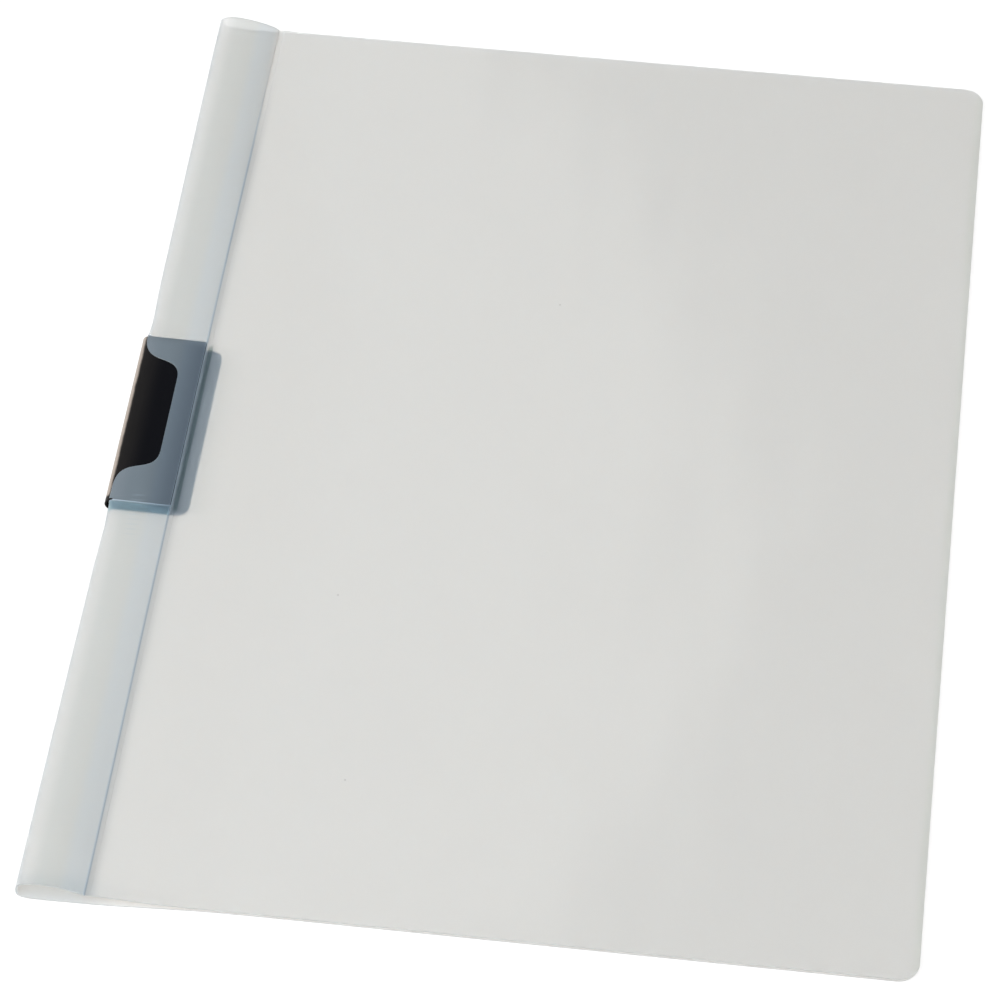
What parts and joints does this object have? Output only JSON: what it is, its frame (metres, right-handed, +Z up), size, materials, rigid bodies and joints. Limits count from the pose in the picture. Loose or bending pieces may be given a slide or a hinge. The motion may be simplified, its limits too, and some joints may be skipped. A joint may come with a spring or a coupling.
{
  "type": "clip folder",
  "caption": "A4 frosted plastic clip folder with a hinged front cover, a thumb notch and a pull-out spring steel clip in the spine.",
  "frame": {"origin": "centre of the folder's footprint, on the surface that the back cover lies on", "axes": "+Y towards the top edge along the spine, +X from the spine towards the free edge, +Z up out of the front cover"},
  "size_m": [0.222, 0.31, 0.0052],
  "materials": {
    "frosted_polypropylene": "frosted translucent sheet with a fine matt grain",
    "black_spring_steel": "satin black coating, worn lighter along the outside of the bend"
  },
  "bodies": {
    "back": {"folded_back_cover": "frosted_polypropylene"},
    "front": {"front_cover": "frosted_polypropylene"},
    "clip": {"spring_clip": "black_spring_steel"}
  },
  "joints": [
    {"name": "front_cover_hinge", "type": "hinge", "parent": "back", "child": "front", "pos_m": [-0.0931, 0, 0.0042], "axis": [0, -1, 0], "range_deg": [0, 170]},
    {"name": "clip_slide", "type": "slide", "parent": "back", "child": "clip", "axis": [-1, 0, 0], "range_m": [0, 0.015]}
  ]
}
